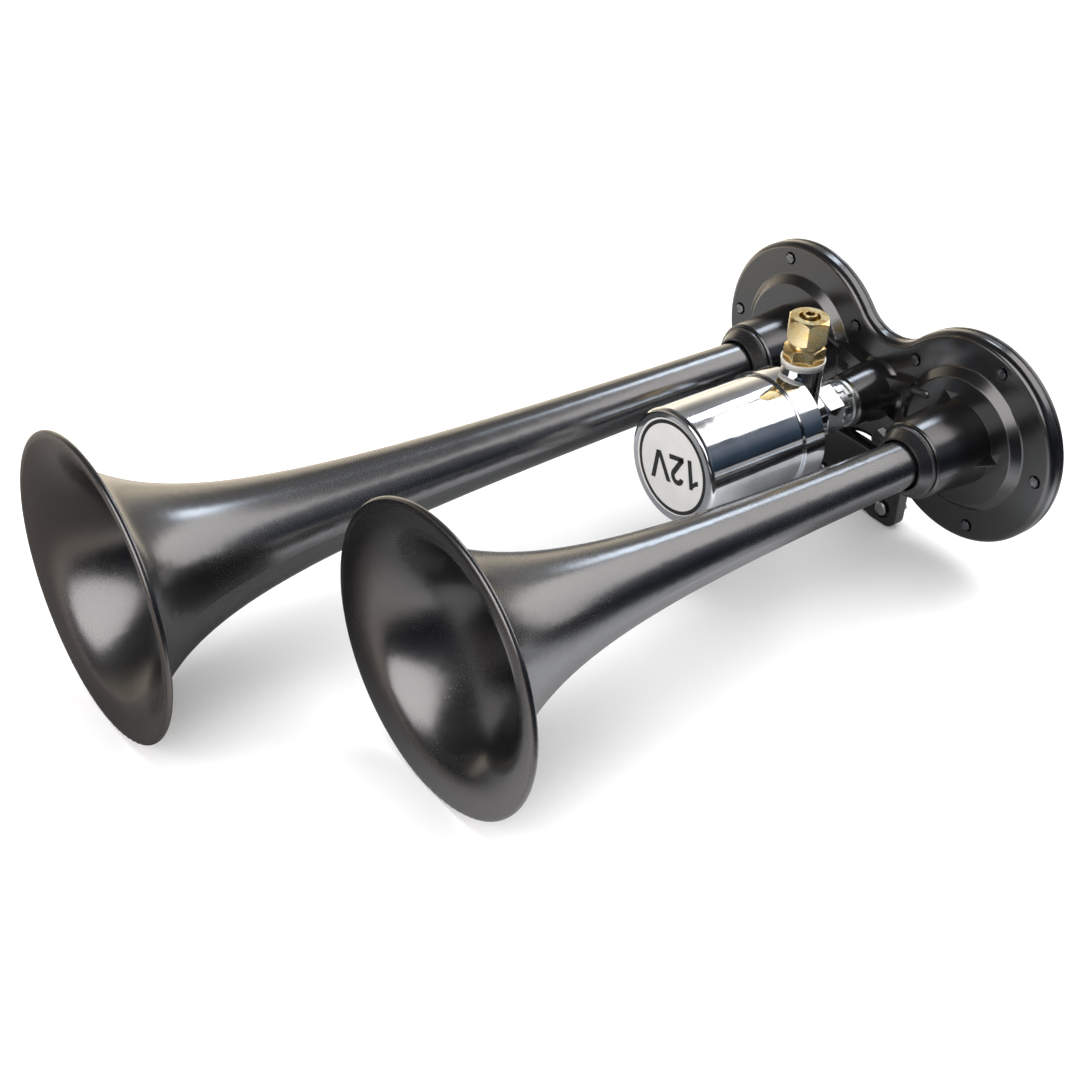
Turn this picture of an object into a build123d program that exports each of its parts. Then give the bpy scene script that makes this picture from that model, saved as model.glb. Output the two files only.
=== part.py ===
from build123d import *
import os
from math import cos, exp, pi, sin, sqrt

# Twin trumpet air horn for a vehicle, 12 volt solenoid valve between the trumpets.
# Millimetres, +Z up. The origin is the middle of the flat rear face of the back cover.
# The trumpets and the valve all lie along Y in the plane z = 0, and the bells face -Y.

# ---- driving dimensions -------------------------------------------------------------------
axis_spacing = 89.3            # between the two trumpet axes
disc_radius = 42.0             # round end of the figure-eight housing
screw_edge = 6.6               # screws' centres to the edge of the disc
screw_circle_radius = disc_radius - screw_edge
diaphragm_clamp = 4.8          # the clamped rim ends this far inside the screws' circle
diaphragm_radius = screw_circle_radius - diaphragm_clamp
diaphragm_rim = 3.2            # width of the clamped rim
chamber_radius = diaphragm_radius - diaphragm_rim
ridge_overlap = 1.5            # the ridge's foot reaches this far past the chamber
ridge_outer_radius = chamber_radius + ridge_overlap
ridge_width = 3.6
ridge_inner_radius = ridge_outer_radius - ridge_width
neck_fillet = 19.0             # concave radius between the two discs
flange_thickness = 4.6
flange_edge_round = 2.4
gasket_thickness = 0.6
cover_thickness = 2.0
cover_edge_chamfer = 0.4
gasket_inset = 0.9             # leaves a dark groove between the housing and the cover
ridge_height = 3.0             # the chamber wall bulges this far towards the bells
ridge_round = 1.0
housing_wall = 1.9

diaphragm_thickness = 0.4
chamber_depth = 2.6

socket_base_radius = 16.9
socket_tip_radius = 15.0
socket_length = 29.5           # from the flange's front face to the tip
socket_core_radius = 13.4
socket_core_depth = 9.6
socket_recess_radius = 12.9
socket_recess_depth = 10.0
gusset_reach = 4.4             # beyond the foot of the socket
gusset_length = 11.0
gusset_width = 9.0
gusset_round = 0.7
nozzle_gap = 0.05
nozzle_flange_radius = 11.4
nozzle_flange_thickness = 1.6

stem_radius = 9.1
stem_bore = 7.2
stem_collar_radius = 12.2
stem_collar_thickness = 2.2
seal_thickness = 1.6
lock_land_radius = 13.9
lock_land_length = 0.9
lock_nose_radius = 13.2
lock_nose_tip_radius = 10.7
lock_nose_length = 5.4
lock_hole_radius = 9.9
lock_seam = 0.3
lock_lug_reach = 16.4
lock_lug_width = 5.8
lock_lug_length = 3.4
short_lug_angle = 162.0        # from +X towards +Z, where the thread stops the collar
long_lug_angle = 250.0

long_trumpet_length = 314.3    # bell mouth to the flange's front face
short_trumpet_length = 243.6
bell_radius = 53.2
bell_bead_radius = 1.1
lip_start = 1.35               # the rolled bead ends this far behind the mouth
lip_reach = 2.0                # the lip's outward turn dies away over this distance
trumpet_wall = 1.3
flare_steps = 20
flare_spacing = 2.3
long_flare = {"rise": 38.2, "scale": 66.7, "power": 2.03, "taper": 0.005}
short_flare = {"rise": 36.6, "scale": 187.8, "power": 4.86, "taper": 0.0}

screws_per_disc = 5
screw_shank_radius = 1.5
screw_head_flats = 3.7
screw_head_height = 2.5
screw_recess_radius = 2.6
screw_recess_depth = 2.0
screw_tip_inset = 0.3

inlet_base_radius = 12.1
inlet_tip_radius = 10.3
inlet_length = 20.1
inlet_thread_radius = 6.5
inlet_floor = 2.4
rib_angle = 12.0               # each rib rises away from the boss
rib_offset = 5.8               # its centre line would cross x = 0 at this height
rib_width = 5.0
rib_height = 4.0
rib_reach = 20.0
gallery_radius = 1.5
gallery_reach = 28.0
gallery_offset = 1.8           # gallery axis, in front of the flange's front face

foot_half_width = 24.5
foot_bottom = bell_radius      # the foot and both bells stand on one plane
foot_top = 24.0
foot_thickness = 5.5
foot_proud = 4.0               # in front of the flange
foot_corner = 5.0
foot_edge_round = 0.9
foot_arch_rise = 1.6
mount_spacing = 34.0
mount_edge = 7.1               # bolts' centres to the foot's standing edge
mount_hole_height = foot_bottom - mount_edge
mount_bolt_radius = 3.0
mount_bolt_flats = 10.0
mount_bolt_head = 3.6
mount_bolt_proud = 1.2
mount_recess_radius = 4.5
mount_recess_depth = 2.0

washer_radius = 9.6
washer_thickness = 1.6
spring_washer_radius = 9.0
spring_washer_thickness = 2.2
spring_washer_slit = 1.4
spring_washer_turn = 48.0
ring_nut_radius = 9.5
ring_nut_thickness = 3.5
ring_nut_notches = 12
ring_nut_notch_width = 1.8
ring_nut_notch_depth = 0.9
outlet_hex_flats = 18.0
outlet_hex_length = 8.5
outlet_hex_chamfer = 0.6
outlet_hex_turn = 32.0
outlet_bore = 3.2
outlet_thread_to_boss = 12.0
outlet_thread_to_valve = 6.5

valve_body_radius = 23.5
valve_body_length = 11.0
valve_neck_radius = 9.4
valve_neck_length = 15.0
valve_pocket_radius = 13.6
valve_pocket_depth = 3.5
valve_chamber_radius = 10.4
valve_chamber_depth = 6.7
seat_radius = 4.2
seat_bore = 2.6
seat_height = 1.6
port_height = 25.0             # top of the upright inlet port above the axis
port_radius = 8.2
port_setback = 5.2             # port axis behind the body's rear face
port_bore = 2.8
port_floor = 6.0
port_thread_depth = 9.5
crossing_height = 8.0
crossing_radius = 1.7

can_radius = 22.4
can_wall = 1.5
can_length = 45.8
can_edge_round = 1.7
can_rear_chamfer = 0.5
label_radius = 18.8
label_thickness = 0.35

yoke_thickness = 2.0
yoke_clearance = 0.3
core_tube_radius = 6.75
core_tube_wall = 0.7
core_tube_flange = 13.3
core_tube_flange_thickness = 2.2
body_seal_thickness = 1.3
bobbin_clearance = 0.2
bobbin_wall = 1.3
bobbin_flange_radius = 18.8
bobbin_flange_thickness = 1.6
winding_radius = 17.8
winding_gap = 0.1

plunger_running_clearance = 0.05
plunger_length = 18.3
plunger_travel = 1.8
plunger_end_gap = 0.1
plunger_seat_radius = 3.9
plunger_seat_thickness = 2.0
plunger_seat_proud = 0.6
seat_gap = 0.05
spring_pocket_radius = 3.5
spring_pocket_depth = 8.0
spring_core_pocket = 1.0
spring_wire_radius = 0.35
spring_mean_radius = 2.7
spring_turns = 6
core_head_radius = 8.6
core_head_thickness = 1.4

cup_washer_radius = 8.5
cup_washer_foot = 7.4
cup_washer_floor = 1.0
cup_washer_height = 2.7
cup_washer_wall = 0.5
fitting_flats = 13.6
fitting_hex_height = 7.2
fitting_hex_chamfer = 0.9
fitting_hex_turn = -19.0
fitting_gap = 0.3
nut_flats = 14.5
nut_height = 11.4
nut_chamfer = 1.3
nut_turn = 16.0
nut_foot_height = 1.3
nut_bore = 4.1
nut_throat_depth = 2.9
nut_thread_radius = 5.9
stub_radius = 2.7
stub_bore = 1.75
stub_proud = 1.0

grommet_radius = 3.4
grommet_flange_radius = 4.6
grommet_proud = 2.6
grommet_hole_radius = 0.9
grommet_hole_spacing = 2.8
grommet_setback = 9.0          # in front of the can's rear edge
thread_clearance = 0.05

# ---- positions worked out from the dimensions ---------------------------------------------
half_spacing = axis_spacing / 2
gasket_front = -cover_thickness - gasket_thickness
flange_front = gasket_front - flange_thickness
socket_tip = flange_front - socket_length
core_floor = flange_front - ridge_height + housing_wall - socket_core_depth
recess_floor = socket_tip + socket_recess_depth
stem_end = recess_floor + 4.2
inlet_tip = flange_front - inlet_length
spring_washer_rear = inlet_tip - washer_thickness
ring_nut_rear = spring_washer_rear - spring_washer_thickness
hex_rear = ring_nut_rear - ring_nut_thickness
hex_front = hex_rear - outlet_hex_length
body_rear = hex_front - valve_neck_length
body_front = body_rear - valve_body_length
can_front = body_front - can_length
port_axis = body_rear + port_setback
chamber_floor = body_front + valve_chamber_depth
seat_face = chamber_floor - seat_height
rear_yoke_front = body_front - yoke_thickness
bobbin_front = can_front + can_wall + core_head_thickness + yoke_thickness + plunger_end_gap
plunger_radius = core_tube_radius - core_tube_wall - plunger_running_clearance
plunger_rear = seat_face - seat_gap - plunger_seat_proud
plunger_front = plunger_rear - plunger_length
core_rear = plunger_front - plunger_travel - plunger_end_gap
fitting_hex_low = port_height + cup_washer_floor
fitting_hex_high = fitting_hex_low + fitting_hex_height
nut_bottom = fitting_hex_high + fitting_gap
nut_top = nut_bottom + nut_height


# ---- shape helpers ------------------------------------------------------------------------
def turned(points):
    """Solid of revolution about Y from corner points (radius, y)."""
    return revolve(make_face(Polyline(*points, close=True)), Axis.Y)


def ring(outer, inner, front, rear):
    return turned([(inner, front), (outer, front), (outer, rear), (inner, rear)])


def rod(radius, front, rear):
    return turned([(0, front), (radius, front), (radius, rear), (0, rear)])


def drawn_at(rear, sketch):
    """Stands a sketch up in X and Z at one value of y, facing the bells."""
    return Plane(origin=(0, rear, 0), x_dir=(1, 0, 0), z_dir=(0, -1, 0)) * sketch


def slab(sketch, front, rear):
    return extrude(drawn_at(rear, sketch), amount=rear - front)


def upright(radius, bottom, top):
    return Pos(0, port_axis, bottom) * extrude(Circle(radius), amount=top - bottom)


def hexagon(flats):
    return RegularPolygon(flats / 2, 6, major_radius=False)


def hex_prism(flats, length, chamfer):
    """Hexagonal bar along Z from z = 0, with the cone that turning leaves on its ends."""
    bar = extrude(hexagon(flats), amount=length)
    corner = flats / sqrt(3) + 0.1
    face = flats / 2 - 0.2
    cone = [(0, 0), (face, 0), (corner, chamfer), (corner, length - chamfer), (face, length), (0, length)]
    return bar & revolve(Plane.XZ * make_face(Polyline(*cone, close=True)), Axis.Z)


def figure_eight(inset=0.0):
    """Two discs joined by a neck with concave sides; inset draws the same outline smaller."""
    hollow_height = sqrt((disc_radius + neck_fillet) ** 2 - half_spacing ** 2)
    radius = disc_radius - inset
    share = radius / (disc_radius + neck_fillet)
    tangent_x = half_spacing * (1 - share)
    tangent_z = hollow_height * share
    waist = Rectangle(2 * tangent_x, 2 * tangent_z)
    for side in (1, -1):
        waist -= Pos(0, side * hollow_height) * Circle(neck_fillet + inset)
    return waist + Pos(half_spacing, 0) * Circle(radius) + Pos(-half_spacing, 0) * Circle(radius)


def screw_places():
    """Five screws on each disc, one of them at the outer end of the long axis."""
    places = []
    for side in (1, -1):
        for index in range(screws_per_disc):
            turn = 2 * pi * index / screws_per_disc
            across = side * (half_spacing + screw_circle_radius * cos(turn))
            places.append((across, screw_circle_radius * sin(turn)))
    return places


def at_discs(shape):
    """The same shape on both trumpet axes, the second one mirrored."""
    return [Pos(half_spacing, 0, 0) * shape, Pos(-half_spacing, 0, 0) * mirror(shape, Plane.YZ)]


# ---- diaphragm housing --------------------------------------------------------------------
def socket_gusset():
    """Wedge that widens from a point on the socket to its full width on the chamber wall."""
    crown = flange_front - ridge_height
    inner = socket_tip_radius - 1.5
    outer = socket_base_radius + gusset_reach
    half_width = gusset_width / 2
    wide = make_face(Polyline((inner, -half_width), (outer, 0), (inner, half_width), close=True))
    narrow = make_face(Polyline((inner, -0.3), (socket_tip_radius + 0.7, 0), (inner, 0.3), close=True))
    wedge = loft([drawn_at(crown + 0.5, wide), drawn_at(crown - gusset_length, narrow)])
    crest = wedge.edges().sort_by(SortBy.LENGTH)[-3:].sort_by(Axis.X)[-1]
    return fillet(crest, gusset_round)


def socket_outside():
    """Raised chamber wall with soft edges, tapered socket and three gussets, axis at x = 0."""
    crown = flange_front - ridge_height
    points = [
        (ridge_outer_radius + 3, flange_front),
        (ridge_outer_radius, flange_front),
        (ridge_inner_radius, crown),
        (socket_base_radius, crown),
        (socket_tip_radius, socket_tip + 0.6),
        (socket_tip_radius - 0.6, socket_tip),
        (0, socket_tip),
        (0, gasket_front),
        (ridge_outer_radius + 3, gasket_front),
    ]
    profile = make_face(Polyline(*points, close=True))
    soft_from = ridge_inner_radius - 1
    soft_to = ridge_outer_radius + 1
    soft = [corner for corner in profile.vertices() if soft_from < corner.X < soft_to]
    shell = revolve(fillet(soft, ridge_round), Axis.Y)
    for turn in (0, 120, 240):
        shell += Rot(0, turn, 0) * socket_gusset()
    return shell


def socket_hollow():
    """Chamber, bore for the nozzle and the stem, and the recess for seal and collar."""
    chamber_front = gasket_front - chamber_depth
    deep_front = flange_front - ridge_height + housing_wall
    hollow = rod(chamber_radius, chamber_front, gasket_front)
    hollow += rod(ridge_inner_radius - housing_wall, deep_front, chamber_front)
    hollow += rod(socket_core_radius, core_floor, deep_front)
    hollow += rod(stem_radius + thread_clearance, recess_floor, core_floor)
    hollow += rod(socket_recess_radius, socket_tip, recess_floor)
    hollow += rod(diaphragm_radius + 0.2, gasket_front - diaphragm_thickness, gasket_front)
    return hollow


def nozzle():
    """Sleeve that carries the air from the diaphragm through the housing into the stem."""
    tip = gasket_front - diaphragm_thickness - nozzle_gap
    flange_rear = core_floor + nozzle_flange_thickness
    points = [
        (stem_bore, stem_end + nozzle_gap),
        (stem_radius, stem_end + nozzle_gap),
        (stem_radius, core_floor),
        (nozzle_flange_radius, core_floor),
        (nozzle_flange_radius, flange_rear),
        (stem_radius, flange_rear),
        (stem_radius, tip - 0.8),
        (stem_radius - 0.8, tip),
        (stem_bore, tip),
    ]
    return turned(points)


def rib_places():
    """Height at x = 0 and turn from +X towards +Z of the four ribs."""
    upper = [(rib_offset, rib_angle), (rib_offset, 180 - rib_angle)]
    return upper + [(-height, -turn) for height, turn in upper]


def inlet_boss():
    points = [
        (0, gasket_front),
        (inlet_base_radius + 1.2, gasket_front),
        (inlet_base_radius + 1.2, flange_front),
        (inlet_base_radius, flange_front - 1.2),
        (inlet_tip_radius, inlet_tip + 0.8),
        (inlet_tip_radius - 0.8, inlet_tip),
        (0, inlet_tip),
    ]
    boss = turned(points)
    for height, turn in rib_places():
        rib = Pos(0, height) * Rot(0, 0, turn) * Pos(rib_reach / 2, 0) * Rectangle(rib_reach, rib_width)
        boss += slab(rib, flange_front - rib_height, flange_front + 1)
    return boss


def inlet_hollow():
    """Threaded inlet and four galleries that lead the air under the ribs to the chambers."""
    floor = gasket_front - inlet_floor
    hollow = rod(inlet_thread_radius + thread_clearance, inlet_tip, floor)
    gallery_pipe = Rot(0, 90, 0) * extrude(Circle(gallery_radius), amount=gallery_reach)
    gallery = Pos(0, flange_front - gallery_offset, 0) * gallery_pipe
    for height, turn in rib_places():
        hollow += Pos(0, 0, height) * Rot(0, -turn, 0) * gallery
    return hollow


def foot():
    """Two-hole mounting foot below the neck, with rounded corners and a shallow arch."""
    height = foot_bottom - foot_top
    outline = Pos(0, -(foot_bottom + foot_top) / 2) * Rectangle(2 * foot_half_width, height)
    low_corners = outline.vertices().group_by(Axis.Y)[0]
    outline = fillet(low_corners, foot_corner)
    half_span = mount_spacing / 2 - foot_corner
    arch_radius = (half_span ** 2 + foot_arch_rise ** 2) / (2 * foot_arch_rise)
    outline -= Pos(0, -foot_bottom + foot_arch_rise - arch_radius) * Circle(arch_radius)
    front = flange_front - foot_proud
    plate = slab(outline, front, front + foot_thickness)
    plate = fillet(plate.faces().sort_by(Axis.Y)[0].outer_wire().edges(), foot_edge_round)
    for side in (1, -1):
        place = Pos(side * mount_spacing / 2, 0, -mount_hole_height)
        plate -= place * rod(mount_bolt_radius + thread_clearance, front - 1, front + foot_thickness + 1)
        plate -= place * rod(mount_recess_radius, front - 1, front + mount_recess_depth)
    return plate


def diaphragm_housing():
    body = slab(figure_eight(), flange_front, gasket_front)
    front_edges = body.faces().sort_by(Axis.Y)[0].outer_wire().edges()
    body = fillet(front_edges, flange_edge_round)
    body += foot()
    body += inlet_boss()
    for socket in at_discs(socket_outside()):
        body += socket
    for hollow in at_discs(socket_hollow()):
        body -= hollow
    body -= inlet_hollow()
    for across, up in screw_places():
        place = Pos(across, 0, up)
        body -= place * rod(screw_shank_radius + 0.1, flange_front - 1, gasket_front + 1)
        body -= place * rod(screw_recess_radius, flange_front - 1, flange_front + screw_recess_depth)
    return body


# ---- cover, gasket, diaphragms and screws --------------------------------------------------
def back_cover():
    """Flat plate with a shallow pocket over each diaphragm and a pressed bead behind it."""
    plate = slab(figure_eight(), -cover_thickness, 0)
    sides = plate.faces().sort_by(Axis.Y)
    rim = sides[0].outer_wire().edges() + sides[-1].outer_wire().edges()
    plate = chamfer(rim, cover_edge_chamfer)
    for side in (1, -1):
        place = Pos(side * half_spacing, 0, 0)
        plate -= place * rod(chamber_radius, -cover_thickness, -cover_thickness / 2)
        plate -= place * ring(chamber_radius + 2.2, chamber_radius - 0.2, -0.5, 0)
        plate -= place * rod(1.0, -cover_thickness, 0)
    for across, up in screw_places():
        plate -= Pos(across, 0, up) * rod(screw_shank_radius + 0.02, -cover_thickness, 0)
    return plate


def cover_gasket():
    sheet = slab(figure_eight(gasket_inset), gasket_front, -cover_thickness)
    for side in (1, -1):
        sheet -= Pos(side * half_spacing, 0, 0) * rod(chamber_radius, gasket_front, -cover_thickness)
    for across, up in screw_places():
        sheet -= Pos(across, 0, up) * rod(screw_shank_radius + 0.3, gasket_front, -cover_thickness)
    return sheet


def diaphragm():
    return rod(diaphragm_radius, gasket_front - diaphragm_thickness, gasket_front)


def cover_screws():
    """Hexagon-headed screws that stand in the front recesses and thread into the cover."""
    seat = flange_front + screw_recess_depth
    screw = rod(screw_shank_radius, seat, -screw_tip_inset)
    screw += slab(hexagon(screw_head_flats), seat - screw_head_height, seat)
    return Compound([Pos(across, 0, up) * screw for across, up in screw_places()])


def mounting_bolts():
    front = flange_front - foot_proud
    rear = front + foot_thickness
    shank_points = [
        (0, front - mount_bolt_proud),
        (mount_bolt_radius - 0.5, front - mount_bolt_proud),
        (mount_bolt_radius, front - mount_bolt_proud + 0.5),
        (mount_bolt_radius, rear),
        (0, rear),
    ]
    bolt = turned(shank_points) + slab(hexagon(mount_bolt_flats), rear, rear + mount_bolt_head)
    return Compound([Pos(side * mount_spacing / 2, 0, -mount_hole_height) * bolt for side in (1, -1)])


# ---- trumpets -----------------------------------------------------------------------------
def flare_radius(distance, flare, length):
    """Outer radius at a distance from the mouth: tapered tube, power-law bell, turned lip."""
    end = length - socket_length - lock_nose_length

    def plain_radius(place):
        bell = (1 + place / flare["scale"]) ** -flare["power"]
        tail = (1 + end / flare["scale"]) ** -flare["power"]
        return stem_radius + flare["taper"] * (end - place) + flare["rise"] * (bell - tail)

    lip = bell_radius - 2 * bell_bead_radius - plain_radius(lip_start)
    return plain_radius(distance) + lip * exp((lip_start - distance) / lip_reach)


def flare_slope(distance, flare, length):
    step = 0.05
    further = flare_radius(distance + step, flare, length)
    return (further - flare_radius(distance - step, flare, length)) / (2 * step)


def trumpet(length, flare):
    """Hollow horn with an even wall and a rolled bead, turned about its axis at x = 0."""
    mouth = flange_front - length
    end = length - socket_length - lock_nose_length
    outside = []
    inside = []
    for index in range(flare_steps + 1):
        distance = lip_start + (end - lip_start) * (index / flare_steps) ** flare_spacing
        radius = flare_radius(distance, flare, length)
        slope = flare_slope(distance, flare, length)
        normal = trumpet_wall / sqrt(1 + slope ** 2)
        outside.append((radius, mouth + distance))
        inside.append((radius - normal, mouth + distance + normal * slope))
    lip_slope = flare_slope(lip_start, flare, length)
    bead_crest = (bell_radius - bell_bead_radius, mouth)
    bead_top = (bell_radius, mouth + bell_bead_radius)
    seal_face = recess_floor - seal_thickness
    collar_front = seal_face - stem_collar_thickness
    tail = Polyline(
        inside[-1],
        (stem_bore, stem_end),
        (stem_radius, stem_end),
        (stem_radius, seal_face),
        (stem_collar_radius, seal_face),
        (stem_collar_radius, collar_front),
        (stem_radius, collar_front),
        outside[-1],
    )
    outline = [
        Spline(*outside),
        ThreePointArc(outside[0], bead_top, bead_crest),
        Spline(bead_crest, inside[0], tangents=[(-1, 0.03), (lip_slope, 1)]),
        Spline(*inside),
        *tail.edges(),
    ]
    return revolve(make_face(outline), Axis.Y)


def lock_collar(lug_angle):
    """Nut with a conical nose and one lug that clamps the stem's collar in the socket."""
    skirt_radius = socket_recess_radius - 0.2
    skirt_rear = recess_floor - seal_thickness - stem_collar_thickness
    nose_rear = socket_tip - lock_seam
    points = [
        (lock_hole_radius, skirt_rear),
        (skirt_radius, skirt_rear),
        (skirt_radius, nose_rear),
        (lock_land_radius, nose_rear),
        (lock_land_radius, nose_rear - lock_land_length),
        (lock_nose_radius, nose_rear - lock_land_length - 0.2),
        (lock_nose_tip_radius, socket_tip - lock_nose_length),
        (lock_hole_radius, socket_tip - lock_nose_length),
    ]
    middle = (lock_hole_radius + 1 + lock_lug_reach) / 2
    lug = Pos(middle, 0) * RectangleRounded(lock_lug_reach - lock_hole_radius - 1, lock_lug_width, 1.2)
    return turned(points) + slab(Rot(0, 0, lug_angle) * lug, nose_rear - lock_lug_length, nose_rear)


def seal_ring():
    return ring(socket_recess_radius - 0.1, stem_radius + 0.1, recess_floor - seal_thickness, recess_floor)


# ---- solenoid valve -----------------------------------------------------------------------
def spring_washer():
    """Split washer; its slit is turned to where a spanner left it."""
    rear = spring_washer_rear
    coil = ring(spring_washer_radius, inlet_thread_radius + 0.1, rear - spring_washer_thickness, rear)
    slit = Pos(spring_washer_radius, 0) * Rectangle(2 * spring_washer_thickness + 2, spring_washer_slit)
    return coil - slab(Rot(0, 0, spring_washer_turn) * slit, rear - spring_washer_thickness, rear)


def ring_nut():
    """Round nut with spanner notches that locks the nipple in the inlet boss."""
    front = ring_nut_rear - ring_nut_thickness
    nut = ring(ring_nut_radius, inlet_thread_radius + 0.1, front, ring_nut_rear)
    notch = Pos(ring_nut_radius, 0) * Rectangle(2 * ring_nut_notch_depth, ring_nut_notch_width)
    for index in range(ring_nut_notches):
        nut -= slab(Rot(0, 0, 360 * index / ring_nut_notches) * notch, front, ring_nut_rear)
    return nut


def outlet_nipple():
    """Chamfered hexagon with a thread into the inlet boss and a shorter one into the valve."""
    nut = hex_prism(outlet_hex_flats, outlet_hex_length, outlet_hex_chamfer)
    nipple = Pos(0, hex_rear, 0) * Rot(0, -outlet_hex_turn, 0) * Rot(90, 0, 0) * nut
    ends = (hex_front - outlet_thread_to_valve, hex_rear + outlet_thread_to_boss)
    return nipple + rod(inlet_thread_radius, *ends) - rod(outlet_bore, *ends)


def valve_body():
    """Cast body: round block, neck to the outlet, upright inlet port and the valve seat."""
    outside = [
        (0, body_front),
        (valve_body_radius, body_front),
        (valve_body_radius, body_rear - 1.6),
        (valve_body_radius - 1.6, body_rear),
        (valve_neck_radius + 1.5, body_rear),
        (valve_neck_radius, body_rear + 1.5),
        (valve_neck_radius, hex_front - 0.8),
        (valve_neck_radius - 0.8, hex_front),
        (0, hex_front),
    ]
    body = turned(outside)
    body += upright(port_radius, 0, port_height)
    body -= rod(valve_pocket_radius, body_front, body_front + valve_pocket_depth)
    body -= rod(valve_chamber_radius, body_front + valve_pocket_depth, chamber_floor)
    body += ring(seat_radius, seat_bore, seat_face, chamber_floor)
    body -= rod(seat_bore, seat_face, hex_front)
    body -= rod(inlet_thread_radius + thread_clearance, hex_front - outlet_thread_to_valve - 0.5, hex_front)
    body -= upright(port_bore, port_floor, port_height)
    body -= upright(inlet_thread_radius + thread_clearance, port_height - port_thread_depth, port_height)
    body -= Pos(0, 0, crossing_height) * rod(crossing_radius, chamber_floor - 0.5, port_axis)
    return body


def coil_can():
    """Drawn steel can over the coil, closed in front, with a shallow seat for the label."""
    inner = can_radius - can_wall
    cup = rod(can_radius, can_front, body_front)
    cup = fillet(cup.faces().sort_by(Axis.Y)[0].edges(), can_edge_round)
    cup = chamfer(cup.faces().sort_by(Axis.Y)[-1].edges(), can_rear_chamfer)
    cup -= rod(inner, can_front + can_wall, body_front)
    cup -= rod(label_radius + 0.1, can_front, can_front + label_thickness)
    return cup - wire_entry(grommet_radius + 0.05, 0, can_radius + 1)


def wire_entry(radius, low, high):
    """Round bar that leaves the can square to its wall, down and away to the left."""
    bar = Pos(0, 0, low) * extrude(Circle(radius), amount=high - low)
    return Pos(0, body_front - grommet_setback, 0) * Rot(0, 225, 0) * bar


def wire_grommet():
    inner = can_radius - can_wall
    grommet = wire_entry(grommet_radius, inner - 0.4, can_radius + grommet_proud)
    skirt = wire_entry(grommet_flange_radius, inner - 1, can_radius + 1.2)
    grommet += skirt - rod(can_radius + 0.02, can_front, body_front)
    for side in (1, -1):
        hole = wire_entry(grommet_hole_radius, inner - 1, can_radius + 4)
        grommet -= Pos(0, side * grommet_hole_spacing / 2, 0) * hole
    return grommet


def yoke_plate(front, rear):
    return ring(can_radius - can_wall - yoke_clearance, core_tube_radius + 0.1, front, rear)


def coil_bobbin():
    bore = core_tube_radius + bobbin_clearance
    spool = ring(bore + bobbin_wall, bore, bobbin_front, rear_yoke_front)
    spool += ring(bobbin_flange_radius, bore, bobbin_front, bobbin_front + bobbin_flange_thickness)
    spool += ring(bobbin_flange_radius, bore, rear_yoke_front - bobbin_flange_thickness, rear_yoke_front)
    return spool


def coil_winding():
    inner = core_tube_radius + bobbin_clearance + bobbin_wall + winding_gap
    front = bobbin_front + bobbin_flange_thickness + winding_gap
    rear = rear_yoke_front - bobbin_flange_thickness - winding_gap
    return ring(winding_radius, inner, front, rear)


def core_tube():
    """Thin tube that guides the plunger, flanged where the body and the yoke clamp it."""
    inner = core_tube_radius - core_tube_wall
    rear = body_front + core_tube_flange_thickness
    front = bobbin_front - yoke_thickness
    tube = ring(core_tube_radius, inner, front, rear)
    return tube + ring(core_tube_flange, inner, body_front, rear)


def body_seal():
    rear = body_front + core_tube_flange_thickness + body_seal_thickness
    return ring(core_tube_flange, valve_chamber_radius + 0.2, body_front + core_tube_flange_thickness, rear)


def fixed_core():
    front = bobbin_front - yoke_thickness
    core = rod(plunger_radius + plunger_running_clearance - 0.02, front, core_rear)
    core += rod(core_head_radius, front - core_head_thickness, front)
    return core - rod(spring_pocket_radius, core_rear - spring_core_pocket, core_rear)


def plunger():
    """Soft iron slug with a rubber pad in its rear face and a spring pocket in its front."""
    slug = rod(plunger_radius, plunger_front, plunger_rear)
    slug = chamfer(slug.faces().sort_by(Axis.Y)[0].edges(), 0.4)
    slug -= rod(spring_pocket_radius, plunger_front, plunger_front + spring_pocket_depth)
    pad_depth = plunger_seat_thickness - plunger_seat_proud
    return slug - rod(plunger_seat_radius, plunger_rear - pad_depth, plunger_rear)


def plunger_seat():
    rear = plunger_rear + plunger_seat_proud
    return rod(plunger_seat_radius, rear - plunger_seat_thickness, rear)


def plunger_spring():
    """Round wire coil between the bottom of the plunger's pocket and the fixed core."""
    low = core_rear - spring_core_pocket + spring_wire_radius
    high = plunger_front + spring_pocket_depth - spring_wire_radius
    pitch = (high - low) / spring_turns
    path = Helix(pitch, high - low, spring_mean_radius)
    section = Plane(path @ 0, z_dir=path % 0) * Circle(spring_wire_radius)
    coil = sweep(section, path=path)
    return Pos(0, low, 0) * Rot(-90, 0, 0) * coil


def label_disc():
    return rod(label_radius, can_front, can_front + label_thickness)


# ---- air line fitting on the valve's inlet port ---------------------------------------------
def cup_washer():
    """Sealing washer whose thin rim is turned up round the hexagon."""
    shelf = cup_washer_radius - cup_washer_wall
    points = [
        (inlet_thread_radius + 0.1, 0),
        (cup_washer_foot, 0),
        (cup_washer_radius, cup_washer_height * 0.6),
        (cup_washer_radius, cup_washer_height),
        (shelf, cup_washer_height),
        (shelf - 0.2, cup_washer_floor),
        (inlet_thread_radius + 0.1, cup_washer_floor),
    ]
    washer = revolve(Plane.XZ * make_face(Polyline(*points, close=True)), Axis.Z)
    return Pos(0, port_axis, port_height) * washer


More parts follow.
